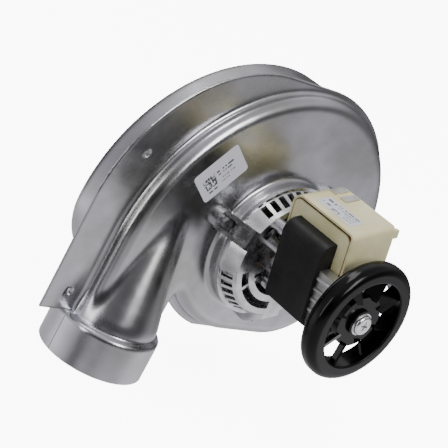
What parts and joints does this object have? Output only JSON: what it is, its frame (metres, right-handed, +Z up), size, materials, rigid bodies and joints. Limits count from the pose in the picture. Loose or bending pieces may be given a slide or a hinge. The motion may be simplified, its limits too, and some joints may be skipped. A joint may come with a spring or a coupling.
{
  "type": "combustion fan",
  "caption": "Furnace combustion fan: sheet-steel scroll housing with a round outlet spigot, an enclosed impeller, and a shaded-pole motor with its own cooling fan.",
  "frame": {"origin": "centre of the round inlet, on the rear face of the housing", "axes": "+Y along the shaft, out of the inlet and away from the motor; +Z up; the outlet spigot points down along -Z"},
  "size_m": [0.2745, 0.1673, 0.2246],
  "materials": {
    "housing_steel": "aluminised sheet, satin",
    "inlet_steel": "aluminised sheet, satin",
    "impeller_steel": "galvanised sheet",
    "hub_steel": "turned, zinc plated",
    "seal_fibre": "compressed fibre",
    "shaft_steel": "ground",
    "slinger_aluminium": "stamped",
    "rotor_steel": "laminated",
    "cast_aluminium": "die cast, bright",
    "bracket_zinc": "die cast, dull",
    "screw_steel": "dark zinc plated",
    "bright_screw": "nickel plated",
    "bronze": "sintered",
    "black_laminations": "varnished black",
    "copper": "bare copper",
    "winding_copper": "enamelled wire",
    "nylon_natural": "unfilled nylon, slightly translucent",
    "black_plastic": "gloss moulding",
    "tin_plate": "tin plated",
    "label_film": "printed film",
    "label_silver": "silver film"
  },
  "bodies": {
    "housing": {"volute_front_shell": "housing_steel", "volute_back_shell": "housing_steel", "inlet_ring": "inlet_steel", "shaft_seal": "seal_fibre", "motor_adapter": "cast_aluminium", "adapter_screws": "screw_steel", "rear_bearing": "bronze", "front_bearing": "bronze", "stator_core": "black_laminations", "coil_leg": "black_laminations", "shading_loops": "copper", "coil_bobbin": "nylon_natural", "coil_winding": "winding_copper", "coil_cover": "nylon_natural", "terminal_blades": "tin_plate", "front_bracket": "bracket_zinc", "motor_bolts": "screw_steel", "housing_label": "label_film", "cover_label": "label_silver"},
    "rotor": {"motor_shaft": "shaft_steel", "rotor_core": "rotor_steel", "rotor_end_rings": "slinger_aluminium", "thrust_washers": "label_film", "heat_slinger": "slinger_aluminium", "impeller_backplate": "impeller_steel", "impeller_blades": "impeller_steel", "impeller_shroud": "impeller_steel", "impeller_hub": "hub_steel", "impeller_set_screw": "screw_steel", "cooling_fan": "black_plastic", "fan_washer": "bright_screw", "fan_screw": "bright_screw"}
  },
  "joints": [
    {"name": "rotor_spin", "type": "hinge", "parent": "housing", "child": "rotor", "pos_m": [0, -0.1, 0], "axis": [0, -1, 0], "continuous": true}
  ]
}
